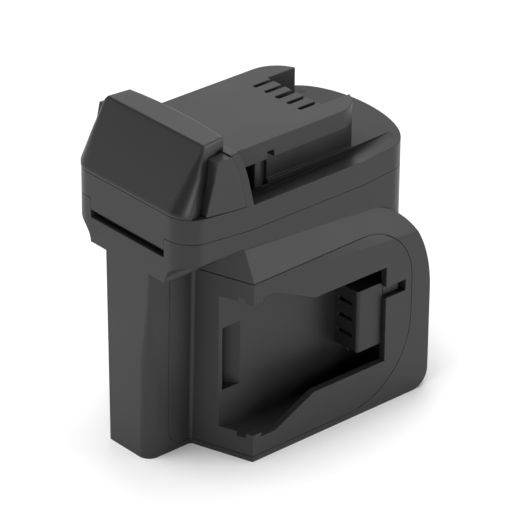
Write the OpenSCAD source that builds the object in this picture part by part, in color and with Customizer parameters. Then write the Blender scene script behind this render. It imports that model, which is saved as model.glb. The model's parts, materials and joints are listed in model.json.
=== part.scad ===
// Battery adapter for slide-on tool batteries.
// A slide head on top fits the tool, and a bay in each side takes a battery pushed in from the front.
// Millimetres. X is across, Y runs from the front (cap and column) to the back, Z is up.
// The origin is the middle of the footprint, on the floor. Places along Y are given from the front face.

/* [Overall] */
// Width of the lower body over both bay faces
body_w = 86; // [84:0.5:90]
// Length from the front face to the back of the lower body
body_l = 139.7; // [138:0.1:146]
// Width of the upper band and of the body under it
band_w = 76.1; // [74:0.1:79]
// Radius of the band's front corners, seen from above
band_corner_r = 11.3; // [9:0.1:13]
// Depth of the band's curved back, seen from above
band_back_d = 17.7; // [15:0.1:22]
// Length of the band from the front face to its back
band_l = 137.3; // [134:0.1:137.9]
// Wall thickness of the housings
wall = 2.5; // [2:0.1:3]
// Gap left between two parts that are fitted together
fit_gap = 0.1; // [0.05:0.01:0.15]

/* [Band] */
// Height of the seam under the band, along the sides
seam_z = 111.8; // [110:0.1:114]
// Height of the band along the sides
band_h = 11.7; // [11:0.1:13]
// Rise of the band's edges for each millimetre towards its front and back ends
band_slope = 0.096; // [0.08:0.002:0.11]
// Distance from the front face at which the front rise ends
rise_front = 36.5; // [34:0.1:38]
// Distance from the front face at which the back rise starts
rise_back = 103; // [100:0.1:106]
// Width of the tab that the band drops over the front slot
tab_w = 48.8; // [44:0.1:52]
// Height of the tab's lower edge
tab_z = 109.9; // [109.5:0.1:111.5]
// Height of the front slot under the tab
front_slot_h = 3.9; // [3:0.1:5]
// Depth of the front slot
front_slot_d = 4; // [3:0.1:6]
// Thickness of the deck behind the cap
deck_t = 2.6; // [2:0.1:3.2]

/* [Slide head] */
// Width of the slide plate
plate_w = 57; // [55:0.1:59]
// Height of the slide plate's top face
plate_z = 145.5; // [144:0.1:147]
// Thickness of the plate's side lips
lip_t = 8.9; // [8:0.1:9.5]
// Width of the neck under the lips
neck_w = 47.2; // [46:0.1:48]
// Thickness of the neck's side walls
neck_wall = 2.6; // [2.2:0.1:3]
// Width of the raised deck under the neck
plateau_w = 49.2; // [48.6:0.1:50]
// Distance from the front face to the back end of the plate
plate_end = 112.2; // [110:0.1:114]
// Radius of the plate's back corners
plate_corner_r = 16; // [14:0.1:17]
// Width of the plate's back notch
notch_w = 35.4; // [34:0.1:37]
// Distance from the front face to the floor of the back notch
notch_y = 94.9; // [93:0.1:97]
// Thickness of the plate over the contacts
plate_t = 3; // [2.4:0.1:3.6]
// Distance between the contact slots
slot_pitch = 7.3; // [7:0.05:7.6]
// Length of the contact slots
slot_l = 10.6; // [9:0.1:12]
// Width of the outer contact slots
slot_w = 2.4; // [2:0.1:2.8]
// Width of the middle contact slot
slot_mid_w = 3.1; // [2.6:0.1:3.6]
// Distance from the front face to the flange before the plate, at the deck
flange_y = 34.5; // [34:0.1:35]
// Thickness of the flange
flange_t = 4; // [3.6:0.1:4.4]
// Height of the flange's top
flange_z = 150.9; // [150.4:0.1:151.2]
// Lean of the flange, forwards for each millimetre up
flange_lean = 0.235; // [0.2:0.005:0.25]
// Height at which the flange starts to curl forwards
flange_curl_z = 136; // [134:0.5:138]
// Curl of the flange above that height
flange_curl = 0.011; // [0.008:0.0005:0.013]
// Depth of the gutter beside the neck at its front end
gutter_front = 4.8; // [3.5:0.1:5.4]
// Depth of the gutter at the back of the plate
gutter_back = 2.6; // [2:0.1:3.2]
// Distance from the front face to the end of the gutter
gutter_end = 126.4; // [120:0.1:128]
// Half width between the gutters where they end
gutter_end_x = 27; // [25.5:0.1:28]
// Length of the latch window behind the flange
window_l = 19.7; // [18:0.1:21]

/* [Cap] */
// Height of the cap's top face
cap_z = 156.4; // [155:0.1:157]
// Distance from the front face to the cap's top front edge
cap_lean = 15.6; // [14:0.1:16.5]
// Height up to which the cap's front stays upright
cap_upright_z = 129.5; // [128.5:0.1:131]
// Half width of the cap over its side edges, at the base
cap_edge_x = 36.4; // [35.5:0.1:36.8]
// The same, half way up
cap_edge_mid_x = 35.1; // [34.5:0.1:35.4]
// The same, at the top
cap_edge_top_x = 32.4; // [31.8:0.1:32.8]
// Half width of the hood behind the side edges
hood_x = 31; // [30.5:0.1:31.5]
// Half width of the cap's side walls where they meet the release buttons, at the base
cap_side_x = 34.4; // [34:0.1:35]
// Distance from the front face to the back of the cap, in the middle
cap_back = 29.4; // [28.5:0.1:29.5]
// How far the cap's back edge bows out in the middle
cap_bow = 2.2; // [1:0.1:2.6]
// Wall thickness of the cap
cap_wall = 2.4; // [2:0.1:2.6]

/* [Latches] */
// Travel of each release button
press = 4; // [3.8:0.1:4.2]
// Distance from the front face to the buttons' front faces, at the deck
button_front = 11.4; // [11:0.1:12.5]
// Lean of the buttons' front faces, backwards for each millimetre up
button_lean = 0.22; // [0.18:0.01:0.24]
// Height of the buttons' tops
button_z = 150.4; // [149.8:0.1:150.5]
// Half width over the buttons' front edges, at the top
button_top_x = 39.4; // [38.4:0.1:39.6]
// Half width over the buttons' front edges, at the deck
button_low_x = 37.4; // [37:0.1:38]
// Gap between the moving buttons and what is round them
run_gap = 0.3; // [0.25:0.01:0.35]
// Distance from the middle plane to the inner faces of the buttons
button_in_x = 22.6; // [22.5:0.05:23]
// Half width of the guide block between the buttons
guide_x = 18; // [17.6:0.1:18]
// Reach of the latch nose from the middle plane
hook_x = 27.3; // [27:0.1:27.6]
// Distance from the front face to the latch nose
hook_y = 48.3; // [47.5:0.1:49]
// Thickness of the latch nose along the rail
nose_t = 3.3; // [2.8:0.1:3.8]
// Thickness of the latch arm
arm_t = 3.1; // [2.6:0.1:3.3]
// Height of the latch arm
arm_h = 8.6; // [8:0.1:8.8]
// Length of the latch arm's foot inside the button
foot_l = 6; // [5:0.1:6.4]
// Diameter of the guide pins
pin_d = 3; // [2.5:0.1:3.2]
// Running gap round the guide pins
pin_gap = 0.06; // [0.04:0.01:0.08]
// Length of the guide pins
pin_l = 60; // [56:0.5:62]
// Distance from the front face to the lower guide pin
pin_low_y = 19; // [18.5:0.1:19.5]
// Height of the lower guide pin
pin_low_z = 131; // [130.5:0.1:132]
// Distance from the front face to the upper guide pin
pin_high_y = 22.5; // [21.5:0.1:23.5]
// Height of the upper guide pin
pin_high_z = 143.2; // [142:0.1:144]
// Diameter of the button spring's wire
spring_wire = 0.7; // [0.5:0.05:0.8]
// Mean diameter of the button springs
spring_d = 4.8; // [4.6:0.1:5.2]
// Depth of the spring's pocket in the button
spring_pocket = 4.4; // [4:0.1:5]

/* [Lower body] */
// Half width of the column at the floor
column_x = 12.8; // [12:0.1:13.5]
// Half width of the column under the front rim
column_top_x = 14.3; // [14:0.1:15]
// Radius of the column's right-hand front corner, low down
column_corner_r = 5.7; // [5:0.1:6.5]
// Height up to which that radius holds
round_to_z = 50; // [44:1:56]
// Height from which that corner is sharp
sharp_from_z = 91; // [88:0.5:92]
// Height of the rim in front, beside the column
rim_front_z = 94; // [92:0.1:96]
// Height of the rim along the sides
rim_side_z = 104.2; // [103:0.1:106]
// Distance from the front face to the front wall, at the lower body's side
front_wall_y = 34.6; // [33.5:0.1:36]
// Slant of the front wall, backwards for each millimetre outwards
front_wall_slant = 0.33; // [0.28:0.01:0.36]
// Height at which the flare under the band starts
flare_z = 88.6; // [87.5:0.1:90]
// Radius of the fillet between the column and the front wall
corner_fillet = 2; // [1.5:0.1:3]
// Centre height of the big curve at the top of the lower body's back
back_curve_z = 50; // [46:0.5:54]
// Length of that curve along Y
back_curve_l = 36; // [32:0.5:38]
// Height of that curve
back_curve_h = 49; // [46:0.1:50]
// Radius at the bottom of the lower body's back
back_foot_r = 9; // [6:0.1:10]

/* [Bays] */
// Height of the bay insert's lower seam
insert_z0 = 2.6; // [2.4:0.1:3.2]
// Height of the bay insert's upper seam
insert_z1 = 88.4; // [87.5:0.1:89.5]
// Distance from the front face to the back seam of the insert
insert_end = 128.3; // [127:0.1:130]
// Radius of the insert's upper back corner
insert_top_r = 28.5; // [26:0.1:30]
// Radius of the insert's lower back corner
insert_foot_r = 38; // [35:0.1:40]
// Distance from the front face to the seam on the column's side
insert_front = 11.8; // [10:0.1:13]
// Radius of the seam's lower corner on the column's side
insert_front_r = 9; // [7:0.1:11]
// Depth of a bay, from its face to its inner wall
bay_depth = 16.7; // [16:0.1:17.2]
// Thickness of the bay's inner wall
bay_wall = 2.2; // [1.8:0.1:2.3]
// Height of the middle of the bay
bay_mid_z = 45.8; // [45:0.1:46.5]
// Height of the bay between its rail grooves
bay_h = 69.2; // [68:0.1:70]
// Height of the bay's front mouth
mouth_h = 65; // [63:0.1:67]
// Height of the gap between the two rail lips
lip_gap = 47.6; // [46:0.1:50]
// Thickness of the rail lips
rail_lip_t = 3.5; // [3:0.1:4]
// Distance from the front face to the back of the bay's opening
opening_end = 112.7; // [111:0.1:114]
// Distance from the front face to the start of the straight rail lips
lip_start = 70.4; // [68:0.1:73]
// Distance from the front face to the start of the sloping rail lips
mouth_end = 47.6; // [46:0.1:49]
// Width of the rim post at the bay's front edge
post_l = 5; // [4:0.1:6]
// Length of the terminal block along Y
block_l = 14.9; // [13:0.1:16]
// Height of the terminal block
block_h = 31; // [29:0.1:33]
// Distance of the terminal block's face under the bay's face
block_sink = 2.2; // [1.6:0.1:3]
// Reach of the terminal block's side arm behind the opening
block_arm_l = 9.8; // [8:0.1:11]
// Height of the terminal block's side arm
block_arm_h = 5; // [4:0.1:5.4]
// Height of the catch pocket in a bay's inner wall
pocket_h = 31; // [28:0.5:34]
// Distance from the front face to the back edge of the catch pocket
pocket_end = 41.4; // [40:0.1:43]
// Depth of the catch pocket at its front
pocket_depth = 6.6; // [5:0.1:7]
// Depth that the catch pocket gains for each millimetre towards the front
pocket_slope = 1.13; // [1:0.01:1.25]
// Number of contacts in each terminal block
bay_contacts_n = 3; // [2:1:4]
// Distance between the contacts of a terminal block
bay_contact_pitch = 8; // [6:0.1:8.5]

/* [Board and fasteners] */
// Distance of the head screws from the band's sides
head_screw_in = 7.1; // [6.9:0.1:7.3]
// Gap between the circuit board and the screw tubes beside it
board_gap = 0.65; // [0.3:0.05:1]
// Length of the circuit board
board_l = 66; // [60:0.5:68]
// Thickness of the circuit board
board_t = 1.6; // [1:0.1:2]
// Height of the board's underside
board_z = 97; // [96.5:0.1:98]
// Diameter of the screws' shanks
screw_d = 2.8; // [2.5:0.1:3]
// Diameter of the screws' heads
screw_head_d = 5.4; // [5:0.1:5.8]
// Diameter of the battery and head leads
lead_d = 2.6; // [2:0.1:2.8]

/* [Hidden] */

$fn = 32;
black = "#3b3b3c";
black_cap = "#343435";
steel = "#9a9c9e";
brass = "#b79a5a";
green = "#1f5a3a";

// Overall places
front = -body_l/2;
eps = 0.01;
big = 200;
deck_z = seam_z + band_h;
lip_z = plate_z - lip_t;
flange_back = flange_y + flange_t;
plate_front = flange_y - flange_lean*(lip_z - deck_z) + 0.1;
window_end = flange_back + window_l;
column_draft = (column_top_x - column_x)/rim_front_z;
bay_z0 = bay_mid_z - bay_h/2;
bay_z1 = bay_mid_z + bay_h/2;
bay_face_x = body_w/2;
bay_in_x = bay_face_x - bay_depth;
cradle_back_x = bay_in_x - bay_wall;
block_y0 = opening_end - block_l;
block_face_x = bay_face_x - block_sink;
groove_z0 = bay_mid_z + 8.1;
core_x = cradle_back_x - fit_gap - wall;
shelf_z = insert_z1 + fit_gap + wall;
pin_r = pin_d/2;
screw_r = screw_d/2;
screw_head_r = screw_head_d/2;
screw_head_h = 2;
screw_hole_r = screw_r + 0.05;
screw_pass_r = screw_r + 0.2;
screw_well_r = screw_head_r + 0.4;
screw_tube_r = screw_well_r + 1.2;
head_screw_x = band_w/2 - head_screw_in;
board_w = 2*(head_screw_x - screw_tube_r - board_gap);

// Place along Y of a distance from the front face
function fy(d) = front + d;
function arc(c, r, a0, a1, n) = [for (i = [0:n]) c + [r[0]*cos(a0 + (a1 - a0)*i/n), r[1]*sin(a0 + (a1 - a0)*i/n)]];
// Height that the band's edges gain at a distance from the front face
function rise(d) = band_slope*max(0, rise_front - d, d - rise_back);
// Distance from the front face to the flange's front face, at a height
function flange_face(z) = flange_y - flange_lean*(z - deck_z) - flange_curl*pow(max(0, z - flange_curl_z), 2);
// Distance from the front face to the buttons' front faces, at a height
function button_face(z) = button_front + button_lean*(z - deck_z);
// Front wall of the lower body: distance from the front face at a place across
function front_wall(x) = front_wall_y - front_wall_slant*(bay_face_x - x);

// Draws a (Y, Z) outline as a solid that is w wide across X, on the middle plane
module across(w) rotate([90, 0, 90]) linear_extrude(w, center = true) children();
// The same, from x0 to x1
module from_x(x0, x1) translate([x0, 0, 0]) rotate([90, 0, 90]) linear_extrude(x1 - x0) children();
// Draws an (X, Z) outline as a solid from y0 to y1
module from_y(y0, y1) translate([0, y1, 0]) rotate([90, 0, 0]) linear_extrude(y1 - y0) children();
// Draws an (X, Y) outline as a solid from z0 to z1
module from_z(z0, z1) translate([0, 0, z0]) linear_extrude(z1 - z0) children();
// Box given by its lowest and highest corners
module box(a, b) translate(a) cube(b - a);
// Copies a right-hand shape to the left
module both() { children(); mirror([1, 0, 0]) children(); }
module on_side(side) { if (side > 0) children(); else mirror([1, 0, 0]) children(); }

// Outline of the band, seen from above, drawn in by a wall
module band_outline(inset = 0) {
    half = band_w/2;
    corner = band_corner_r;
    back_c = band_l - band_back_d;
    polygon(concat(
        arc([half - corner, fy(corner)], [corner - inset, corner - inset], -90, 0, 8),
        arc([0, fy(back_c)], [half - inset, band_back_d - inset], 0, 180, 28),
        arc([-half + corner, fy(corner)], [corner - inset, corner - inset], 180, 270, 8)
    ));
}

// Side view of a strip that follows the band's rise, between two heights given at the sides
module band_strip(z0, z1) {
    far = body_l + 10;
    d = [-10, rise_front, rise_back, far];
    polygon(concat(
        [for (i = d) [fy(i), z0 + rise(i)]],
        [for (k = [3:-1:0]) [fy(d[k]), z1 + rise(d[k])]]
    ));
}

// Space beside the column, under the rim, grown by g into the walls that bound it
module side_recess(g = 0) {
    half = band_w/2;
    arch_x = tab_w/2 + 0.3;
    difference() {
        intersection() {
            from_y(fy(-1), fy(front_wall_y + 12)) polygon(concat(
                [[column_x - g - column_draft, -1], [bay_face_x + 20, -1], [bay_face_x + 20, rim_side_z]],
                arc([half, rim_front_z], [half - arch_x, rim_side_z - rim_front_z], 90, 180, 8),
                [[column_top_x - g, rim_front_z]]
            ));
            from_z(-2, rim_side_z + 1) polygon([
                [0, fy(-1)], [bay_face_x + 20, fy(-1)],
                [bay_face_x + 20, fy(front_wall(bay_face_x + 20) + g)], [0, fy(front_wall(0) + g)]
            ]);
        }
        if (g == 0) recess_fillet();
    }
}

// Fillet between the column's side and the front wall; it meets both at a small angle
module recess_fillet() {
    r = corner_fillet;
    bite = 0.03;
    lean = atan(column_draft);
    a = atan(front_wall_slant);
    reach = r*tan((90 - a)/2);
    translate([column_x, fy(front_wall(column_x)), -2]) rotate([-atan(column_draft*front_wall_slant), lean, 0])
        linear_extrude(rim_front_z + 12) difference() {
            polygon([[-1, 1], [-1, -reach], [0, -reach], [reach*cos(a), reach*sin(a)], [reach*cos(a) - 1, 1 + reach*sin(a)]]);
            translate([r - bite, -reach + bite]) circle(r, $fn = 48);
        }
}

// Side outline of the lower body
module lower_outline() {
    back = body_l;
    top_front = rim_side_z;
    top_back = back_curve_z + back_curve_h;
    polygon(concat(
        [[fy(0), 0]],
        arc([fy(back - back_foot_r), back_foot_r], [back_foot_r, back_foot_r], -90, 0, 8),
        arc([fy(back - back_curve_l), back_curve_z], [back_curve_l, top_back - back_curve_z], 0, 90, 20),
        [[fy(front_wall_y - 10), top_front], [fy(0), top_front]]
    ));
}

// The lower body's solid, with the flare that leads up to the band's width
module lower_block() {
    half = band_w/2;
    fall = atan((rim_side_z - back_curve_z - back_curve_h)/(body_l - back_curve_l - front_wall_y));
    lean = atan((bay_face_x - half)/(rim_side_z - flare_z));
    difference() {
        across(body_w) lower_outline();
        both() translate([half, fy(front_wall_y), rim_side_z]) rotate([-fall, 0, 0]) rotate([0, -lean, 0])
            translate([0, -big/2, -50]) cube([40, big*1.2, 100]);
        both() box([bay_face_x - 40, fy(-1), -1], [bay_face_x + 1, fy(front_wall(bay_face_x - 40)), big]);
    }
}

// The whole outer form under the band's seam
module outer_form() {
    difference() {
        union() {
            intersection() {
                from_z(back_curve_z + 10, big) band_outline();
                across(body_w) band_strip(-big, seam_z);
            }
            lower_block();
            column();
        }
        both() side_recess();
        translate([column_x, fy(0), 0]) rotate([0, atan(column_draft), 0]) column_corner();
    }
}

// Column in front; its right-hand front corner turns from sharp at the top to round below
module column() {
    depth = front_wall(0) + 8;
    from_y(fy(0), fy(depth)) polygon([
        [-column_x, 0], [column_x, 0], [column_top_x, rim_front_z], [column_top_x, rim_side_z],
        [-column_top_x, rim_side_z], [-column_top_x, rim_front_z]
    ]);
}
// What the rounding takes off the corner, with the sharp corner on the Z axis
module column_corner() {
    r = column_corner_r;
    translate([0, 0, -1]) linear_extrude(round_to_z + 1) difference() { corner_square(r); corner_disc(r); }
    difference() {
        hull() {
            translate([0, 0, round_to_z]) linear_extrude(eps) corner_square(r);
            translate([0, 0, sharp_from_z]) linear_extrude(eps) corner_square(0.1);
        }
        hull() {
            translate([0, 0, round_to_z]) linear_extrude(eps) corner_disc(r);
            translate([0, 0, sharp_from_z]) linear_extrude(eps) corner_disc(0.1);
        }
    }
}
module corner_square(r) polygon([[-r, -0.5], [0.5, -0.5], [0.5, r], [-r, r]]);
module corner_disc(r) polygon(arc([0.03 - r, r - 0.03], [r, r], 0, 352.5, 47));

// Side outline of a bay insert, grown by g
module insert_outline(g = 0) {
    y1 = fy(insert_end) + g;
    polygon(concat(
        [[fy(insert_front) - g, insert_z1 + g]],
        arc([fy(insert_front + insert_front_r), insert_z0 + insert_front_r],
            [insert_front_r + g, insert_front_r + g], 180, 270, 8),
        arc([y1 - g - insert_foot_r, insert_z0 + insert_foot_r], [insert_foot_r + g, insert_foot_r + g], -90, 0, 12),
        arc([y1 - g - insert_top_r, insert_z1 - insert_top_r], [insert_top_r + g, insert_top_r + g], 0, 90, 12)
    ));
}

// Right-hand space of a bay insert in the body: the bay's box and the skin round the recess
module insert_space(g = 0) {
    skin = bay_wall + g;
    intersection() {
        from_x(0, bay_face_x + 1) insert_outline(g);
        union() {
            box([cradle_back_x - g, fy(front_wall(bay_in_x) - 2), -1], [bay_face_x + 2, fy(body_l), big]);
            side_recess(skin);
        }
    }
}

// Main housing: body, column, core between the bays and the space under the head
module main_housing() color(black) {
    difference() {
        outer_form();
        both() insert_space(fit_gap);
        both() pocket_shell(fit_gap);
        core_space();
        both() head_screw_places() screw_well();
        front_slot_cut();
        both() cradle_screw_places() rotate([0, 90, 0]) translate([0, 0, -wall - 1]) cylinder(r = screw_pass_r, h = wall + 2);
        both() lead_window();
        both() block_screw_places() rotate([0, -90, 0]) cylinder(r = screw_well_r, h = bay_wall + fit_gap + wall + 1);
    }
    both() intersection() {
        head_screw_places() screw_tube();
        outer_form();
    }
    both() board_screw_places() board_post();
    both() cradle_screw_places() cradle_boss();
}

// Hollow inside the main housing
module core_space() {
    foot = wall;
    column_in = column_x - bay_wall - wall;
    intersection() {
        from_z(shelf_z, big) band_outline(wall);
        union() {
            box([-big, fy(front_wall_y + 6), shelf_z], [big, fy(body_l), big]);
            box([-big, fy(-1), rim_side_z + wall], [big, fy(front_wall_y + 7), big]);
            box([-core_x, fy(front_wall(core_x) + bay_wall + wall), shelf_z - 1], [core_x, fy(front_wall_y + 7), big]);
        }
    }
    intersection() {
        across(2*core_x) offset(delta = -wall) lower_outline();
        box([-big, fy(front_wall(core_x) + bay_wall + wall + 1), foot], [big, fy(body_l - wall), shelf_z + 1]);
    }
    box([-column_in, fy(wall), foot], [column_in, fy(front_slot_d + wall), tab_z - front_slot_h - wall]);
    box([-column_in, fy(front_slot_d + wall) - eps, foot], [column_in, fy(body_l/2), rim_side_z + wall + 1]);
}

// Slot in the front under the band's tab
module front_slot_cut() {
    half = tab_w/2;
    box([-half, fy(-1), tab_z - front_slot_h], [half, fy(front_slot_d), seam_z + rise(0) + 1]);
}

// Places of the screws that hold the head, on the right
module head_screw_places() for (d = [46, 106]) translate([head_screw_x, fy(d), 0]) children();

screw_seat_z = 104;
head_boss_z = seam_z - 1.5;
module screw_tube() difference() {
    translate([0, 0, shelf_z - 1]) cylinder(r = screw_tube_r, h = head_boss_z - shelf_z + 1);
    screw_well();
}
module screw_well() {
    translate([0, 0, insert_z1 - 2]) cylinder(r = screw_well_r, h = screw_seat_z - insert_z1 + 2);
    translate([0, 0, screw_seat_z - 1]) cylinder(r = screw_pass_r, h = 10);
}

// Places of the screws that hold the board, on the right
module board_screw_places() for (d = [52, 106]) translate([board_w/2 - 3, fy(d), 0]) children();
module board_post() difference() {
    translate([0, 0, shelf_z - 1]) cylinder(r = 2.6, h = board_z - shelf_z + 1);
    translate([0, 0, shelf_z]) cylinder(r = board_screw_r + 0.05, h = 12);
}

// Places of the screws that hold a bay insert, on the right, on the core's outer wall
cradle_screw_d = 106;
module cradle_screw_places() for (dz = [-19.7, 19.7])
    translate([cradle_back_x - fit_gap, fy(cradle_screw_d), bay_mid_z + dz]) children();
module cradle_boss() translate([-wall, 0, 0]) rotate([0, -90, 0]) difference() {
    translate([0, 0, -0.5]) cylinder(r = 3.2, h = 7.5);
    translate([0, 0, -1]) cylinder(r = screw_hole_r, h = 7);
}

// Window in the core's wall for a terminal block's leads
module lead_window() box([core_x - 1, fy(block_y0 + 4), bay_mid_z - lead_half], [bay_in_x + 1, fy(block_y0 + 11), bay_mid_z + lead_half]);
lead_half = bay_contact_pitch*(bay_contacts_n - 1)/2 + 2.4;

// Outline of the slide plate, seen from above
module plate_outline(half) {
    r = plate_corner_r;
    intersection() {
        polygon(concat(
            [[-plate_w/2, fy(plate_front)], [plate_w/2, fy(plate_front)]],
            arc([plate_w/2 - r, fy(plate_end - r)], [r, r], 0, 90, 12),
            arc([-plate_w/2 + r, fy(plate_end - r)], [r, r], 90, 180, 12)
        ));
        translate([-half, fy(0)]) square([2*half, body_l]);
    }
}

// Side outline of the flange, which leans and curls forwards
flange_zs = [deck_z - 3, flange_curl_z, flange_curl_z + 4, flange_curl_z + 8, flange_curl_z + 12, flange_z];
module flange_side() polygon(concat(
    [for (z = flange_zs) [fy(flange_face(z)), z]],
    [for (i = [len(flange_zs) - 1:-1:0]) [fy(flange_face(flange_zs[i]) + flange_t), flange_zs[i]]]
));
// Flange: full width, with rounded top corners and a slot for each latch arm
module flange() {
    half = band_w/2;
    r = 1.2;
    difference() {
        intersection() {
            across(band_w) flange_side();
            from_y(fy(0), fy(flange_back + 1)) polygon(concat(
                [[-half, deck_z - 3], [half, deck_z - 3]],
                arc([half - r, flange_z - r], [r, r], 0, 90, 4),
                arc([-half + r, flange_z - r], [r, r], 90, 180, 4)
            ));
        }
        both() arm_slot();
    }
}
// Slot for a latch arm through the flange and the neck's front wall
module arm_slot() box([arm_in_x - press - 0.6, fy(flange_y - 4), arm_z0 - 0.4], [arm_in_x + arm_t + 0.4, fy(flange_back + 1), arm_z0 + arm_h + 0.4]);

// Head housing: band, deck, flange, neck and slide plate in one moulding
module head_housing() color(black) {
    difference() {
        union() {
            intersection() {
                from_z(tab_z, big) band_outline();
                union() {
                    across(big) band_strip(seam_z, deck_z);
                    box([-tab_w/2 + fit_gap, fy(-1), tab_z], [tab_w/2 - fit_gap, fy(wall), deck_z]);
                }
            }
            intersection() {
                from_z(deck_z - 1, lip_z + 1) plate_outline(neck_w/2);
                box([-big, fy(flange_y + 0.5), 0], [big, fy(body_l), big]);
            }
            from_z(deck_z - 1, deck_z + 0.4) intersection() {
                plate_outline(plateau_w/2);
                translate([-big/2, fy(flange_y)]) square([big, body_l]);
            }
            from_z(lip_z, plate_z) plate_outline(plate_w/2);
        }
        head_hollow();
        back_notch();
        contact_slots();
        both() latch_window();
        both() gutter();
        front_floor_holes();
        both() arm_slot();
    }
    flange();
    head_bosses();
}

// Hollow under the head's skin
module head_hollow() {
    inner = neck_w/2 - neck_wall;
    gutter_x = inner - 1;
    intersection() {
        from_z(tab_z - 1, big) band_outline(wall);
        union() {
            across(2*gutter_x) band_strip(seam_z - 5, deck_z - deck_t);
            difference() {
                across(big) band_strip(seam_z - 5, deck_z - deck_t);
                across(big) translate([fy(flange_y), deck_z - gutter_front - deck_t]) square([plate_end + 18 - flange_y, 20]);
            }
        }
    }
    box([-inner, fy(flange_back), deck_z - deck_t - 1], [inner, fy(notch_y - wall), plate_z - plate_t]);
    both() box([notch_w/2 + 2.2, fy(notch_y - wall - 1), deck_z - deck_t - 1], [inner, fy(plate_end - 9), lip_z]);
}

// Notch in the back of the plate and neck
module back_notch() {
    half = notch_w/2;
    intersection() {
        box([-half, fy(notch_y), deck_z], [half, fy(plate_end + 5), plate_z + 1]);
        across(big) band_strip(deck_z + 0.4, big);
    }
}

slot_xs = [for (i = [-2:2]) i*slot_pitch];
function slot_width(x) = abs(x) < 1 ? slot_mid_w : slot_w;
// Slots for the tool's contact blades, open into the back notch
module contact_slots() for (x = slot_xs) {
    w = slot_width(x);
    from_z(deck_z + 6, plate_z + 1) union() {
        translate([x, fy(notch_y - slot_l + w/2)]) circle(d = w);
        translate([x - w/2, fy(notch_y - slot_l + w/2)]) square([w, slot_l]);
    }
}

// Window behind the flange through which a latch reaches out
module latch_window() {
    box([neck_w/2 - neck_wall - 1, fy(flange_y + 0.4), deck_z + 0.6], [neck_w/2 + 0.8, fy(window_end), lip_z + 3.4]);
    box([arm_in_x - press - 0.5, fy(hook_y - 1.2), deck_z - 1.6], [plateau_w/2 + 1, fy(window_end), deck_z + 1]);
    box([neck_w/2 - 1, fy(window_end - 4), lip_z - 1], [plate_w/2 + 1, fy(window_end), lip_z + 3.4]);
}

// Gutter beside the neck, deepest at the flange; its inner edge runs on behind the plate until it fades
gutter_run = [
    [flange_back, plateau_w/2, band_w/2 - 0.8, gutter_front],
    [rise_back, plateau_w/2, band_w/2 - 0.8, gutter_back],
    [gutter_end, gutter_end_x, gutter_end_x + 7.3, 0.05]
];
module gutter() for (i = [0, 1]) hull() {
    gutter_slice(gutter_run[i]);
    gutter_slice(gutter_run[i + 1]);
}
module gutter_slice(s) {
    z = deck_z + rise(s[0]);
    from_y(fy(s[0]), fy(s[0] + eps)) polygon([[s[1], z + 0.5], [s[1], z - s[3]], [s[2], z], [s[2], z + 0.5]]);
}

// Holes in the floor under the cap
module front_floor_holes() {
    both() cap_screw_places() translate([0, 0, deck_z - deck_t - 2]) cylinder(r = screw_pass_r, h = 12);
    guide_screw_places() translate([0, 0, deck_z - deck_t - 2]) cylinder(r = screw_pass_r, h = 12);
    box([-6, fy(30), deck_z - deck_t - 1], [6, fy(flange_y - 2), deck_z + 3]);
}
module cap_screw_places() translate([11.5, fy(6.6), 0]) children();
module guide_screw_places() for (x = [-12, 12]) translate([x, fy(14.6), 0]) children();

// Bosses under the head's deck for the head screws and the carrier's screws
module head_bosses() {
    both() head_screw_places() difference() {
        translate([0, 0, head_boss_z + fit_gap]) cylinder(r = 3.8, h = deck_z - deck_t - head_boss_z);
        translate([0, 0, head_boss_z - 1]) cylinder(r = screw_hole_r, h = 10);
    }
    both() carrier_screw_places() difference() {
        translate([0, 0, plate_z - plate_t - 6]) cylinder(r = 2.4, h = 6.5);
        translate([0, 0, plate_z - plate_t - 7]) cylinder(r = screw_hole_r, h = 6);
    }
}
carrier_screw_x = 2*slot_pitch + 0.9;
module carrier_screw_places() translate([carrier_screw_x, fy(carrier_y0 - 3.6), 0]) children();

// Cap over the front of the head
// One level of the cap, seen from above: a front that rounds into two side edges, side walls and a bowed back
module cap_section(z, yf, recess, r, edge_x, side_x, inset = 0) {
    turn = acos(1 - recess/r);
    c = [edge_x - r*sin(turn), fy(yf) + r];
    right = concat(
        [for (i = [0:8]) c + (r - inset)*[sin(turn*i/8), -cos(turn*i/8)]],
        [[side_x - inset, fy(button_face(z))], [min(side_x, hood_x) - inset, fy(cap_back - cap_bow - inset)]],
        [for (i = [3:-1:0]) [(hood_x - inset)*i/4, fy(cap_back - inset - cap_bow*pow(i/4, 2))]]
    );
    left = [for (i = [len(right) - 2:-1:0]) [-right[i][0], right[i][1]]];
    translate([0, 0, z]) linear_extrude(eps) polygon(concat(right, left));
}
cap_mid_z = (cap_upright_z + cap_z)/2;
cap_corner_recess = 5;
// The cap's front face: distance from the front face at a height
function cap_front(z) = cap_lean*max(0, z - cap_upright_z)/(cap_z - cap_upright_z);
// Lofted body of the cap; the inner form is the same, drawn in by a wall
module cap_body(inset = 0) {
    top = cap_z - inset;
    r = band_corner_r;
    edge = 1.2;
    hull() {
        cap_section(deck_z - 1, 0, cap_corner_recess, r, cap_edge_x, cap_side_x, inset);
        cap_section(cap_upright_z, 0, cap_corner_recess, r, cap_edge_x, cap_side_x, inset);
    }
    hull() {
        cap_section(cap_upright_z, 0, cap_corner_recess, r, cap_edge_x, cap_side_x, inset);
        cap_section(cap_mid_z, cap_front(cap_mid_z), cap_corner_recess*0.6, r*0.7, cap_edge_mid_x, cap_side_x - 0.8, inset);
    }
    hull() {
        cap_section(cap_mid_z, cap_front(cap_mid_z), cap_corner_recess*0.6, r*0.7, cap_edge_mid_x, cap_side_x - 0.8, inset);
        cap_section(top - edge, cap_front(top - edge), 0.3, inset + 1, cap_edge_top_x, hood_x + 0.6, inset);
        cap_section(top - eps, cap_front(top) + 0.3, 0.3, inset + 1, cap_edge_top_x - 0.9, hood_x - 0.6, inset);
    }
}
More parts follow.
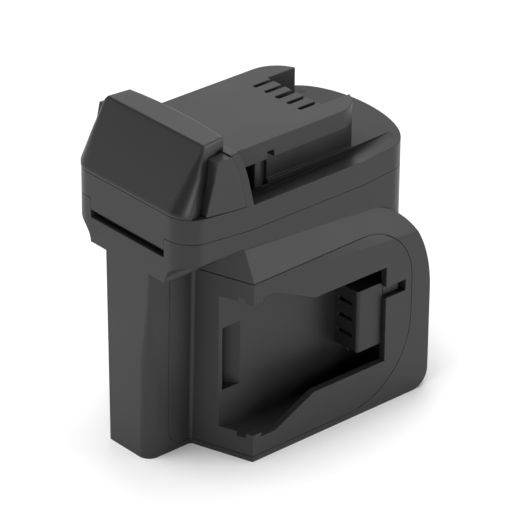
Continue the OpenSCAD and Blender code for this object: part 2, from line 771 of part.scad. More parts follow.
module front_cap() color(black_cap) difference() {
    union() {
        difference() {
            cap_body();
            cap_body(cap_wall);
        }
        intersection() {
            cap_body();
            both() cap_screw_places() translate([0, 0, deck_z - 2]) cylinder(r = 3.4, h = 14);
        }
    }
    across(big) band_strip(deck_z - 30, deck_z + fit_gap/2);
    box([-big, fy(22), 0], [big, fy(body_l), flange_z + fit_gap]);
    both() button_room();
    both() cap_screw_places() translate([0, 0, deck_z]) cylinder(r = screw_hole_r, h = 12.5);
}
// Space at each side of the cap in which a release button sits and travels
module button_room() {
    hood_z = button_z + run_gap;
    from_x(guide_x + 0.2, big) polygon([
        [fy(button_face(deck_z - 8) - run_gap), deck_z - 8], [fy(flange_y + 5), deck_z - 8],
        [fy(flange_y + 5), hood_z], [fy(button_face(hood_z) - run_gap), hood_z]
    ]);
}

// Guide block between the buttons: it holds the guide pins and is the seat of the springs
arm_z0 = deck_z + 1.4;
arm_in_x = neck_w/2 - neck_wall - 0.4 - arm_t;
foot_y = flange_face(arm_z0 + arm_h) - 1.8 - foot_l;
pin_places = [[pin_low_y, pin_low_z], [pin_high_y, pin_high_z]];
module latch_guide() color(black) difference() {
    from_x(-guide_x, guide_x) polygon([
        [fy(button_front - 0.4), deck_z - 2], [fy(foot_y - 0.5), deck_z - 2], [fy(foot_y - 0.5), arm_z0 + arm_h + 0.6],
        [fy(foot_y + 3), arm_z0 + arm_h + 0.6], [fy(pin_high_y + 3.4), pin_high_z + 3.5],
        [fy(pin_high_y - 3.5), pin_high_z + 3.5], [fy(button_front + 3), pin_low_z + 4]
    ]);
    across(big) band_strip(deck_z - 30, deck_z + eps);
    box([-guide_x + 5, fy(button_front - 2), pin_low_z + 2.6], [guide_x - 5, fy(pin_low_y + 12), pin_high_z - 2.6]);
    for (p = pin_places) translate([0, fy(p[0]), p[1]]) rotate([0, 90, 0]) cylinder(r = pin_r + 0.01, h = 2*guide_x + 2, center = true);
    guide_screw_places() translate([0, 0, deck_z - 2]) cylinder(r = screw_hole_r, h = 9);
}

// Steel pins on which the buttons slide
module guide_pins() color(steel) for (p = pin_places)
    translate([0, fy(p[0]), p[1]]) rotate([0, 90, 0]) rotate_extrude() {
        square([pin_r - 0.4, pin_l/2]);
        polygon([[0, -pin_l/2], [pin_r - 0.4, -pin_l/2], [pin_r, 0.4 - pin_l/2], [pin_r, pin_l/2 - 0.4], [pin_r - 0.4, pin_l/2], [0, pin_l/2]]);
    }

// Release button: the visible ear, pushed in towards the middle
module release_button(side) on_side(side) color(black_cap) difference() {
    intersection() {
        from_x(button_in_x, big) polygon(concat(
            [[fy(button_face(deck_z - 3)), deck_z - 3]],
            [for (z = concat([for (z = flange_zs) if (z < button_z) z], [button_z])) [fy(flange_face(z) - run_gap/2), z]],
            [[fy(button_face(button_z)), button_z]]
        ));
        hull() {
            button_plan(deck_z - 3, button_low_x, band_w/2);
            button_plan(button_z + 1, button_top_x, band_w/2 + 0.1);
        }
    }
    across(big) band_strip(deck_z - 30, deck_z + run_gap);
    for (p = pin_places) translate([0, fy(p[0]), p[1]]) rotate([0, 90, 0])
        cylinder(r = pin_r + pin_gap, h = pin_l/2 + press + 0.5);
    translate([button_in_x - 1, fy(pin_low_y), pin_low_z]) rotate([0, 90, 0])
        cylinder(r = spring_d/2 + spring_wire/2 + 0.25, h = spring_pocket + 1);
    latch_foot(fit_gap/2);
}
module button_plan(z, front_x, back_x) translate([0, 0, z]) linear_extrude(eps)
    polygon([[0, fy(button_front - 2)], [front_x, fy(button_front - 2)], [back_x, fy(flange_y)], [0, fy(flange_y)]]);

// Foot of the latch arm, held in the button's pocket
module latch_foot(g) {
    box([arm_in_x - g, fy(foot_y) - g, arm_z0 - g], [button_in_x + 3 + g, fy(foot_y + foot_l) + g, arm_z0 + arm_h + g]);
}

// Latch hook: an arm through the flange with a nose that stands out of the window
module latch_hook(side) on_side(side) color(black) {
    nose_z0 = deck_z - 1.2;
    nose_z1 = lip_z - 0.3;
    ramp_end = window_end - 0.6;
    difference() {
        union() {
            latch_foot(0);
            box([arm_in_x, fy(foot_y + 1), arm_z0], [arm_in_x + arm_t, fy(hook_y + 1), arm_z0 + arm_h]);
            from_z(nose_z0, nose_z1) polygon([
                [arm_in_x, fy(hook_y)], [hook_x, fy(hook_y)], [hook_x, fy(hook_y + nose_t)],
                [arm_in_x + arm_t + 2, fy(ramp_end)], [arm_in_x, fy(ramp_end)]
            ]);
        }
        translate([0, fy(hook_y + nose_t + 0.7), nose_z1 + 1.1]) rotate([45, 0, 0])
            cube([big, 2.6, 2.6], center = true);
        translate([hook_x, 0, nose_z0]) rotate([0, 45, 0]) cube([2.4, big, 2.4], center = true);
    }
}

// Spring that pushes a button out, coiled round its lower guide pin
spring_turns = 5;
spring_x0 = guide_x + 0.05;
spring_x1 = button_in_x + spring_pocket - 0.05;
module button_spring(side) on_side(side) color(steel)
    translate([spring_x0, fy(pin_low_y), pin_low_z]) rotate([0, 90, 0]) coil(spring_x1 - spring_x0);
module coil(length) {
    r = spring_d/2;
    w = spring_wire/2;
    steps = 12;
    pitch = (length - 2*w)/spring_turns;
    path = [for (i = [0:spring_turns*steps]) [r*cos(360*i/steps), r*sin(360*i/steps), w + pitch*i/steps]];
    tube(path, w, 6);
}

// Round tube along a path, as one closed mesh; sides is the number of its flat sides
function unit(v) = v/norm(v);
function tangent(p, i) = unit(p[min(i + 1, len(p) - 1)] - p[max(i - 1, 0)]);
function across_path(t, hint) = unit(hint - (hint*t)*t);
function frames(p, i, side) = let (t = tangent(p, i), s = across_path(t, side))
    i == len(p) - 1 ? [[s, cross(t, s)]] : concat([[s, cross(t, s)]], frames(p, i + 1, s));
module tube(p, r, sides) {
    t0 = tangent(p, 0);
    hint = abs(t0[2]) < 0.8 ? [0, 0, 1] : [1, 0, 0];
    f = frames(p, 0, across_path(t0, hint));
    n = len(p);
    points = [for (i = [0:n - 1], k = [0:sides - 1]) p[i] + r*(f[i][0]*cos(360*k/sides) + f[i][1]*sin(360*k/sides))];
    faces = concat(
        [[for (k = [0:sides - 1]) k]],
        [for (i = [0:n - 2], k = [0:sides - 1]) let (a = i*sides + k, b = i*sides + (k + 1)%sides) [a, a + sides, b + sides, b]],
        [[for (k = [sides - 1:-1:0]) (n - 1)*sides + k]]
    );
    polyhedron(points, faces);
}
// Smooth path through hand-chosen points
function bend(p, i, u) = let (
    a = p[max(i - 1, 0)], b = p[i], c = p[i + 1], d = p[min(i + 2, len(p) - 1)])
    0.5*(2*b + (c - a)*u + (2*a - 5*b + 4*c - d)*u*u + (3*b - a - 3*c + d)*u*u*u);
function smooth(p, n) = let (m = len(p), q = [for (i = [0:m - 2], k = [0:n - 1]) bend(p, i, k/n)])
    concat([p[0], p[0] + (p[1] - p[0])/n], [for (j = [2:len(q) - 2]) q[j]], [p[m - 1] + (p[m - 2] - p[m - 1])/n, p[m - 1]]);

// Carrier under the plate that holds the head's contacts
carrier_y0 = notch_y - wall - fit_gap - 14;
carrier_z0 = deck_z + 5;
carrier_z1 = plate_z - plate_t - fit_gap;
carrier_half = 2*slot_pitch + 3.8;
pocket_w = 5.4;
module head_terminal_carrier() color("#26272a") difference() {
    union() {
        box([-carrier_half, fy(carrier_y0), carrier_z0], [carrier_half, fy(notch_y - wall - fit_gap), carrier_z1]);
        both() carrier_screw_places() translate([0, 0, carrier_z1 - 8.6]) cylinder(r = 3, h = 2.6);
        both() box([carrier_screw_x - 2.9, fy(carrier_y0 - 4), carrier_z1 - 8.6], [carrier_screw_x + 2.8, fy(carrier_y0 + 1), carrier_z1 - 6 - fit_gap]);
    }
    both() carrier_screw_places() cylinder(r = screw_pass_r, h = big);
    for (x = slot_xs) {
        box([x - pocket_w/2, fy(carrier_y0 + 2), carrier_z0 + 1.6], [x + pocket_w/2, fy(notch_y), carrier_z1 + 1]);
        box([x - 1.4, fy(carrier_y0 + 3), carrier_z0 - 1], [x + 1.4, fy(carrier_y0 + 5), carrier_z0 + 2]);
    }
}

// One contact of the head: two leaves on a web, with a tail through the carrier
module head_contact(x) {
    gap = slot_width(x)/2;
    leaf = 0.7;
    y0 = fy(carrier_y0 + 2.4);
    y1 = fy(notch_y - wall - 0.6);
    z0 = carrier_z0 + 1.6;
    for (s = [-1, 1]) translate([x + s*(gap + leaf/2), 0, 0])
        box([-leaf/2, y0, z0], [leaf/2, y1, carrier_z1 - 0.6]);
    box([x - gap - leaf, y0, z0], [x + gap + leaf, y0 + 3, z0 + leaf]);
    box([x - 1, y0 + 1, carrier_z0 - 4.5], [x + 1, y0 + 1.7, z0 + eps]);
}
module head_power_contacts() color(brass) for (x = [slot_xs[0], slot_xs[4]]) head_contact(x);
module head_signal_contacts() color(brass) for (i = [1:3]) head_contact(slot_xs[i]);

// Bay insert: the channel that a battery slides into, with the skin round the front recess
module bay_cradle(side) on_side(side) color(black) difference() {
    intersection() {
        union() {
            insert_space();
            pocket_shell();
        }
        outer_form();
    }
    bay_channel();
    bay_window();
    bay_pocket();
    cradle_screw_places() rotate([0, 90, 0]) translate([0, 0, -1]) cylinder(r = screw_pass_r, h = bay_wall + 2);
    lead_window();
    block_screw_places() rotate([0, 90, 0]) translate([0, 0, -1]) cylinder(r = screw_pass_r, h = bay_wall + 2);
}
// The battery's space behind the lips, with its mouth in the front wall
module bay_channel() {
    x1 = bay_face_x - rail_lip_t;
    box([bay_in_x, fy(front_wall(bay_in_x) + 3), bay_z0], [x1, fy(opening_end + 8), bay_z1]);
    box([bay_in_x, fy(0), bay_mid_z - mouth_h/2], [bay_face_x + 2, fy(front_wall_y + 0.4), bay_mid_z + mouth_h/2]);
    box([bay_in_x, fy(0), bay_mid_z - mouth_h/2], [x1, fy(front_wall_y + 4), bay_mid_z + mouth_h/2]);
}
// The opening in the bay's face, narrower between the rail lips
module bay_window() {
    low = [
        [-5, -mouth_h/2], [front_wall_y + post_l, -mouth_h/2], [front_wall_y + post_l, -bay_h/2], [mouth_end, -bay_h/2],
        [lip_start, -lip_gap/2], [opening_end, -lip_gap/2]
    ];
    g0 = groove_z0 - bay_mid_z;
    g1 = g0 + block_arm_h + 0.6;
    groove_end = opening_end + block_arm_l + 2;
    groove = [[opening_end, g0], [groove_end, g0], [groove_end, g1], [opening_end, g1]];
    high = [for (i = [5:-1:0]) [low[i][0], -low[i][1]]];
    from_x(bay_in_x + 3, bay_face_x + 2) polygon([for (p = concat(low, groove, high)) [fy(p[0]), bay_mid_z + p[1]]]);
}
// Catch pocket in the bay's inner wall, deeper towards the front
module pocket_outline() {
    x0 = bay_in_x - pocket_depth;
    x1 = bay_in_x + 1;
    y1 = fy(pocket_end);
    polygon([
        [x0, fy(front_wall(x0) + bay_wall)], [x1, fy(front_wall(x1) + bay_wall)],
        [x1, y1], [bay_in_x, y1], [x0, y1 - pocket_depth/pocket_slope]
    ]);
}
module bay_pocket() from_z(bay_mid_z - pocket_h/2, bay_mid_z + pocket_h/2) pocket_outline();
// The wall round the pocket, on the core's side, grown by g
module pocket_shell(g = 0) {
    half = pocket_h/2 + bay_wall + g;
    from_z(bay_mid_z - half, bay_mid_z + half) intersection() {
        offset(delta = bay_wall + g) pocket_outline();
        translate([0, fy(0)]) square([bay_in_x - 0.5, body_l]);
    }
}

// Terminal block at the back of a bay
bay_contact_zs = [for (i = [0:bay_contacts_n - 1]) bay_mid_z + (i - (bay_contacts_n - 1)/2)*bay_contact_pitch];
contact_slot_h = 1.7;
module bay_terminal_block(side) on_side(side) color("#2e2e30") difference() {
    r = 1.6;
    union() {
        from_z(bay_mid_z - block_h/2, bay_mid_z + block_h/2) union() {
            translate([bay_in_x, fy(block_y0)]) square([block_face_x - bay_in_x - r, block_l]);
            translate([bay_in_x, fy(block_y0 + r)]) square([block_face_x - bay_in_x, block_l - r]);
            translate([block_face_x - r, fy(block_y0 + r)]) circle(r);
        }
        box([bay_in_x, fy(opening_end - 1), groove_z0 + 0.3], [block_face_x - 0.3, fy(opening_end + 7.6), groove_z0 + 0.3 + block_arm_h]);
        box([bay_face_x - rail_lip_t, fy(opening_end - 1), groove_z0 + 0.3], [block_face_x - 0.3, fy(opening_end + block_arm_l), groove_z0 + 0.3 + block_arm_h]);
    }
    for (z = bay_contact_zs)
        box([bay_in_x + 1.6, fy(block_y0 - 1), z - contact_slot_h/2], [block_face_x - 4, fy(block_y0 + 10.5), z + contact_slot_h/2]);
    box([bay_in_x - 1, fy(block_y0 + 5), bay_mid_z - lead_half], [bay_in_x + 1.7, fy(block_y0 + 11), bay_mid_z + lead_half]);
    block_screw_places() rotate([0, 90, 0]) translate([0, 0, -1]) cylinder(r = screw_hole_r, h = 10.6);
}
// Places of the screws that hold a terminal block from behind, at the outer face of the cradle's back wall
module block_screw_places() for (dz = [-block_h/2 + 3, block_h/2 - 3])
    translate([cradle_back_x, fy(block_y0 + 7.5), bay_mid_z + dz]) children();

// Contacts of a bay's terminal block: two leaves each, open to the front
module bay_contacts(side) on_side(side) color(brass) for (z = bay_contact_zs) {
    leaf = 0.4;
    half = contact_slot_h/2 - 0.05;
    x0 = bay_in_x + 3;
    x1 = block_face_x - 4.1;
    y0 = fy(block_y0 + 2);
    y1 = fy(block_y0 + 10.45);
    box([x0, y0, z - half], [x1, y1, z - half + leaf]);
    box([x0, y0, z + half - leaf], [x1, y1, z + half]);
    box([x0, y1 - 0.6, z - half], [x1, y1, z + half]);
    box([bay_in_x + 0.6, y1 - 3.4, z - half], [x0 + eps, y1 - 1.4, z + half]);
}

// Circuit board over the core, and what is soldered on it
board_screw_r = 1;
board_y0 = 49;
board_top = board_z + board_t;
module circuit_board() color(green) difference() {
    box([-board_w/2, fy(board_y0), board_z], [board_w/2, fy(board_y0 + board_l), board_top]);
    both() board_screw_places() translate([0, 0, board_z - 1]) cylinder(r = board_screw_r + 0.2, h = 4);
}
module board_relay() color("#202a5c") box([-9, fy(board_y0 + 8), board_top], [9, fy(board_y0 + 24), board_top + 12]);
module board_capacitors() color("#2a2a2e") for (x = [-6, 6]) translate([x, fy(board_y0 + 50), board_top]) {
    cylinder(d = 10, h = 1);
    translate([0, 0, 1]) cylinder(d = 9.4, h = 0.6);
    translate([0, 0, 1.6]) cylinder(d = 10, h = 11);
}
module board_chips() color("#1c1c1e") for (p = [[-14, 30, 7, 6], [0, 31, 10, 8], [13, 29, 5, 4], [-14, 42, 6, 4]])
    box([p[0] - p[2]/2, fy(board_y0 + p[1] - p[3]/2), board_top], [p[0] + p[2]/2, fy(board_y0 + p[1] + p[3]/2), board_top + 1.4]);
module board_connector() color("#e4e0d0") difference() {
    y1 = fy(board_y0 + board_l - 0.6);
    box([-8, y1 - 5.4, board_top], [8, y1, board_top + 7]);
    for (i = [-2:2]) box([i*3 - 1, y1 - 4, board_top + 1], [i*3 + 1, y1 - 1.4, board_top + 8]);
}

// Leads from the bays to the board and from the board to the head; the points are chosen by hand, as [x, from the front, z]
lead_z0 = bay_mid_z - bay_contact_pitch;
lead_z1 = bay_mid_z + bay_contact_pitch;
lead_x0 = bay_in_x + 0.58;
lead_x1 = bay_in_x - 2.8;
bay_lead_routes = [
    [
        [lead_x0, 105.65, lead_z1], [lead_x1, 105.65, lead_z1], [lead_x1 - 4.5, 105.45, lead_z1 + 0.8], [13.5, 101.85, 62], [13, 97.85, 74],
        [13, 91.85, 85], [13, 87.85, board_z - 5], [13, 86.85, board_z - 2], [13, 86.85, board_z]
    ], [
        [lead_x0, 105.65, lead_z0], [lead_x1, 105.65, lead_z0], [lead_x1 - 5.5, 105.65, lead_z0 + 0.8], [10, 105.85, 46], [7, 103.85, 60],
        [6, 96.85, 76], [6, 89.85, board_z - 9], [6, 86.85, board_z - 2], [6, 86.85, board_z]
    ]
];
head_lead_routes = [for (s = [1, -1]) [
    [14.6*s, 83.55, 124], [14.6*s, 83.55, 121], [16*s, 80.85, 114], [18*s, 74.85, 107], [19*s, 69.85, 103],
    [19*s, 67.85, board_top + 2], [19*s, 67.85, board_top]
]];
module lead(route) tube(smooth([for (p = route) [p[0], fy(p[1]), p[2]]], 4), lead_d/2, 8);
module leads_bay(side) on_side(side) color("#a02020") for (r = bay_lead_routes) lead(r);
module leads_head() color("#a02020") for (r = head_lead_routes) lead(r);

// Screw with a cross recess, head at the origin, shank along +Z
module screw(length, r = screw_r, head_r = screw_head_r, head_h = screw_head_h) color(steel) difference() {
    union() {
        translate([0, 0, -head_h]) cylinder(r = head_r, h = head_h);
        cylinder(r = r, h = length);
    }
    for (a = [0, 90]) rotate(a) translate([-head_r*0.55, -0.4, -head_h - 1]) cube([head_r*1.1, 0.8, 2]);
}
module head_screws() both() head_screw_places() translate([0, 0, screw_seat_z]) screw(11.8);
module cap_screws() both() cap_screw_places() translate([0, 0, cap_floor_z(6.6)]) screw(10);
module guide_screws() guide_screw_places() translate([0, 0, cap_floor_z(14.6)]) screw(7);
// Underside of the sloping floor, at a distance from the front face, clear of a screw's head
function cap_floor_z(d) = deck_z - deck_t + rise(d + screw_head_r) - 0.02;
module carrier_screws() both() carrier_screw_places() translate([0, 0, carrier_z1 - 8.6]) screw(7);
module board_screws() both() board_screw_places() translate([0, 0, board_top]) mirror([0, 0, 1]) screw(6, board_screw_r, 2, 1.4);
module cradle_screws(side) on_side(side) cradle_screw_places() translate([bay_wall + fit_gap, 0, 0]) rotate([0, -90, 0]) screw(10);
module block_screws(side) on_side(side) block_screw_places() rotate([0, 90, 0]) screw(bay_wall + 6.5);

main_housing();
head_housing();
front_cap();
latch_guide();
release_button(1);  // release_button_right
release_button(-1);  // release_button_left
latch_hook(1);  // latch_hook_right
latch_hook(-1);  // latch_hook_left
button_spring(1);  // button_spring_right
button_spring(-1);  // button_spring_left
guide_pins();
head_terminal_carrier();
head_power_contacts();
head_signal_contacts();
bay_cradle(1);  // bay_cradle_right
bay_cradle(-1);  // bay_cradle_left
bay_terminal_block(1);  // bay_terminal_block_right
bay_terminal_block(-1);  // bay_terminal_block_left
bay_contacts(1);  // bay_contacts_right
bay_contacts(-1);  // bay_contacts_left
circuit_board();
board_relay();
board_capacitors();
board_chips();
board_connector();
leads_bay(1);  // leads_right_bay
leads_bay(-1);  // leads_left_bay
leads_head();
head_screws();
cap_screws();
guide_screws();
carrier_screws();
board_screws();
cradle_screws(1);  // cradle_screws_right
cradle_screws(-1);  // cradle_screws_left
block_screws(1);  // block_screws_right
block_screws(-1);  // block_screws_left
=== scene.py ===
"""Tool battery adapter: finish of its visible pieces, studio light, floor and camera."""
import json
import math

import bpy
from mathutils import Matrix, Vector
from mathutils.geometry import convex_hull_2d


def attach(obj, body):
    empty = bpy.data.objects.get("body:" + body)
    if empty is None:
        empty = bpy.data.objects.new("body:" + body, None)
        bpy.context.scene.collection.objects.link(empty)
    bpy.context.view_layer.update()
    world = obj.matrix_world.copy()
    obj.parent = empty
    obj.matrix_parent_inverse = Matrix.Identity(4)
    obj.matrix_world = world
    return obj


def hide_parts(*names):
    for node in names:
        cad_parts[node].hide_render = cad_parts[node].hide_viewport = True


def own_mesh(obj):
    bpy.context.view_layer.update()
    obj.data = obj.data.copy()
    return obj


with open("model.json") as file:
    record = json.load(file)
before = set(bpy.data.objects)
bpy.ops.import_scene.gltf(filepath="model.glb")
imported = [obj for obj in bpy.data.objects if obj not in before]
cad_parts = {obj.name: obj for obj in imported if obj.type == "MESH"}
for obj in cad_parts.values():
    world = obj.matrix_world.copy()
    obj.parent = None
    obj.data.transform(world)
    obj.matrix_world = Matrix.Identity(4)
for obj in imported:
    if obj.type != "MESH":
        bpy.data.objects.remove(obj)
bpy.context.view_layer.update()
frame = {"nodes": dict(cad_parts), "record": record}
nodes = frame["nodes"]
subparts = frame["record"]["subparts"]
behaviour = frame["record"]["behaviour"]
slots = {part["node"]: part["material_slot"] for part in subparts}
bodies = {node: body for body, held in behaviour["bodies"].items() for node in held}

# Camera: it stands in front of the right-hand bay and above it, as in the photo
CAMERA_AZIMUTH = math.radians(48.4736)
CAMERA_ELEVATION = math.radians(28.2306)
CAMERA_ROLL = math.radians(0.52511)
CAMERA_DISTANCE = 1.691797
CAMERA_RIGHTWARDS = 0.0035694
CAMERA_UPWARDS = 0.0640486
CAMERA_TARGET = Vector((0, -0.00025, 0))
FOCAL_LENGTH = 263.96
SENSOR_WIDTH = 36

# Each light's name, its azimuth and elevation in degrees, its strength, and its spread in degrees
LIGHTS = (
    ("top_front", 0, 72, 1.95, 36),
    ("top_back", 180, 72, 0.9, 36),
    ("top_left", 270, 72, 0.65, 36),
    ("corner", 45, 8, 0.75, 20),
    ("right_back", 135, 8, 1.5, 36),
    ("left_back", 225, 8, 0.5, 36),
    ("left_back_high", 225, 44, 0.3, 36),
    ("left_front", 315, 8, 0.32, 36),
)
# The sky adds a faint light from overhead, and looks white to the camera
SKY_AT_HORIZON = 0.0
SKY_OVERHEAD = 0.03
SKY_OVERHEAD_FROM = 0.9
SKY_SEEN = 1.0
FLOOR_SIZE = 12

# Noise scales of the plastics' grain and flow marks and of the metals' drawn lines and tarnish
FINE_GRAIN = 5200
COARSE_GRAIN = 1500
FLOW_MARKS = 38
DRAWN_LINES = 2600
TARNISH = 90
GRAIN_DEPTH = 0.00001
SHADE_SWING = 0.06
ROUGH_SWING = 0.05
PLASTIC_SPECULAR = 0.38
TARNISH_SHADE = 0.72
# Radii that the light sees on the edges of the plastics
EDGE_OF_HOUSING = 0.0005
EDGE_OF_CAP = 0.0012
EDGE_OF_CRADLE = 0.0004
EDGE_OF_SMALL_PIECE = 0.0006

# Mouldings that are copied, merged and smoothed, and the real edge radii of the small ones
MOULDINGS = (
    "main_housing", "head_housing", "front_cap", "bay_cradle_right", "bay_cradle_left",
    "bay_terminal_block_right", "bay_terminal_block_left", "release_button_right",
    "release_button_left", "latch_hook_right", "latch_hook_left",
)
EDGE_RADII = {"bay_terminal_block_right": 0.0004, "bay_terminal_block_left": 0.0004}
EDGE_SEGMENTS = 3
EDGE_FROM_ANGLE = math.radians(28)
SMOOTH_TO_ANGLE = math.radians(32)
FLAT_TO_ANGLE = math.radians(0.5)
MERGE_DISTANCE = 0.000005

# How far the rims are drawn back from their seams; a lower rim lies between the two heights beside it
CRADLE_SEAM = 0.0002
LOWER_RIMS = {"head_housing": (0.00022, 0.1110, 0.1185), "front_cap": (0.00018, 0.1200, 0.1300)}
# A face of an insert's rim reaches this near to the outside, lies this far from the bay's middle, and
# faces away from the middle and not sideways
RIM_TO_OUTSIDE = 0.0005
RIM_FROM_MIDDLE = 0.018
RIM_FACES_AWAY = 0.45
RIM_FACES_SIDEWAYS = 0.2
FACES_DOWN = -0.9


def backwards(azimuth, elevation):
    """Direction from the object to a camera or light; azimuth 0 is in front, and 90 degrees on the right."""
    return Vector((
        math.sin(azimuth) * math.cos(elevation),
        -math.cos(azimuth) * math.cos(elevation),
        math.sin(elevation),
    ))


def place_camera():
    back = backwards(CAMERA_AZIMUTH, CAMERA_ELEVATION)
    level = Vector((math.cos(CAMERA_AZIMUTH), math.sin(CAMERA_AZIMUTH), 0))
    upright = back.cross(level)
    right = math.cos(CAMERA_ROLL) * level + math.sin(CAMERA_ROLL) * upright
    up = math.cos(CAMERA_ROLL) * upright - math.sin(CAMERA_ROLL) * level
    place = CAMERA_DISTANCE * back + CAMERA_RIGHTWARDS * right + CAMERA_UPWARDS * up + CAMERA_TARGET
    lens = bpy.data.cameras.new("camera")
    lens.sensor_width = SENSOR_WIDTH
    lens.lens = FOCAL_LENGTH
    lens.clip_start = 0.05
    lens.clip_end = 30
    camera = bpy.data.objects.new("camera", lens)
    camera.matrix_world = Matrix((
        (right.x, up.x, back.x, place.x),
        (right.y, up.y, back.y, place.y),
        (right.z, up.z, back.z, place.z),
        (0, 0, 0, 1),
    ))
    bpy.context.scene.collection.objects.link(camera)
    bpy.context.scene.camera = camera


class Wires:
    """A material's nodes, made one after the other."""

    def __init__(self, name):
        self.material = bpy.data.materials.new(name)
        self.material.use_nodes = True
        self.tree = self.material.node_tree
        self.shader = self.tree.nodes["Principled BSDF"]

    def add(self, kind, **values):
        """Adds a node. A capitalised name sets the socket of that name, and any other name a setting."""
        node = self.tree.nodes.new(kind)
        for key, value in values.items():
            if key[0].isupper():
                node.inputs[key].default_value = value
            else:
                setattr(node, key, value)
        return node

    def feed(self, socket, value):
        """Gives a socket a number or colour of its own, or another node's output."""
        if isinstance(value, (int, float, tuple)):
            socket.default_value = value
        else:
            self.tree.links.new(value, socket)

    def place(self):
        return self.add("ShaderNodeTexCoord").outputs["Object"]

    def noise(self, scale, detail, roughness, where):
        node = self.add("ShaderNodeTexNoise", Scale=scale, Detail=detail, Roughness=roughness)
        self.feed(node.inputs["Vector"], where)
        return node.outputs["Fac"]

    def ramp(self, value, low, high, from_low, from_high):
        node = self.add("ShaderNodeMapRange")
        node.inputs["From Min"].default_value = from_low
        node.inputs["From Max"].default_value = from_high
        node.inputs["To Min"].default_value = low
        node.inputs["To Max"].default_value = high
        self.feed(node.inputs["Value"], value)
        return node.outputs["Result"]

    def calculate(self, operation, first, second):
        node = self.add("ShaderNodeMath", operation=operation)
        self.feed(node.inputs[0], first)
        self.feed(node.inputs[1], second)
        return node.outputs[0]

    def mix(self, amount, first, second):
        """Mixes two colours, which are the node's inputs 6 and 7 and its output 2."""
        node = self.add("ShaderNodeMix", data_type="RGBA")
        self.feed(node.inputs["Factor"], amount)
        self.feed(node.inputs[6], first)
        self.feed(node.inputs[7], second)
        return node.outputs[2]

    def bump(self, height, strength, distance, normal=None):
        node = self.add("ShaderNodeBump", Strength=strength, Distance=distance)
        self.feed(node.inputs["Height"], height)
        if normal is not None:
            self.feed(node.inputs["Normal"], normal)
        return node.outputs["Normal"]


def tone(shade, share):
    """A colour made darker or lighter."""
    return tuple(share * part for part in shade) + (1,)


def moulded_plastic(name, shade, rough, edge=EDGE_OF_SMALL_PIECE):
    """Plastic from a spark-eroded mould: fine grain, faint flow marks, softly rounded edges."""
    w = Wires(name)
    where = w.place()
    fine = w.noise(FINE_GRAIN, 3, 0.6, where)
    coarse = w.noise(COARSE_GRAIN, 2, 0.5, where)
    flow = w.noise(FLOW_MARKS, 4, 0.55, where)
    rounded = w.add("ShaderNodeBevel", samples=6, Radius=edge)
    grained = w.bump(fine, 0.3, GRAIN_DEPTH, rounded.outputs["Normal"])
    w.feed(w.shader.inputs["Normal"], w.bump(coarse, 0.2, 2 * GRAIN_DEPTH, grained))
    shades = w.mix(w.ramp(flow, 0, 1, 0.32, 0.68), tone(shade, 1 - SHADE_SWING), tone(shade, 1 + SHADE_SWING))
    w.feed(w.shader.inputs["Base Color"], shades)
    patches = w.calculate("ADD", w.calculate("MULTIPLY", flow, 0.6), w.calculate("MULTIPLY", coarse, 0.4))
    dullness = w.ramp(patches, rough - ROUGH_SWING, rough + ROUGH_SWING, 0.35, 0.65)
    w.feed(w.shader.inputs["Roughness"], dullness)
    w.shader.inputs["Specular IOR Level"].default_value = PLASTIC_SPECULAR
    return w.material


def metal(name, shade, rough, stretch=(1, 1, 1)):
    """Bare metal with fine drawn lines and a little tarnish."""
    w = Wires(name)
    turn = w.add("ShaderNodeMapping", Scale=stretch)
    w.feed(turn.inputs["Vector"], w.place())
    lines = w.noise(DRAWN_LINES, 4, 0.65, turn.outputs["Vector"])
    stain = w.noise(TARNISH, 3, 0.5, w.place())
    shades = w.mix(w.ramp(stain, 0, 1, 0.35, 0.7), tone(shade, 1), tone(shade, TARNISH_SHADE))
    w.feed(w.shader.inputs["Base Color"], shades)
    w.feed(w.shader.inputs["Roughness"], w.ramp(lines, rough - 0.08, rough + 0.1, 0.3, 0.7))
    w.feed(w.shader.inputs["Normal"], w.bump(lines, 0.3, GRAIN_DEPTH))
    w.shader.inputs["Metallic"].default_value = 1.0
    return w.material


def place_floor():
    bpy.ops.mesh.primitive_plane_add(size=FLOOR_SIZE, location=(0, 0, 0))
    floor = bpy.context.object
    floor.name = "floor"
    w = Wires("pale_floor")
    w.shader.inputs["Base Color"].default_value = (0.94, 0.94, 0.94, 1)
    w.shader.inputs["Roughness"].default_value = 0.95
    w.shader.inputs["Specular IOR Level"].default_value = 0.0
    floor.data.materials.append(w.material)


def soft_light(name, azimuth, elevation, strength, spread):
    """A broad light from far off."""
    lamp = bpy.data.lights.new(name, "SUN")
    lamp.energy = strength
    lamp.angle = math.radians(spread)
    back = backwards(math.radians(azimuth), math.radians(elevation))
    light = bpy.data.objects.new(name, lamp)
    light.rotation_euler = back.to_track_quat("Z", "Y").to_euler()
    bpy.context.scene.collection.objects.link(light)


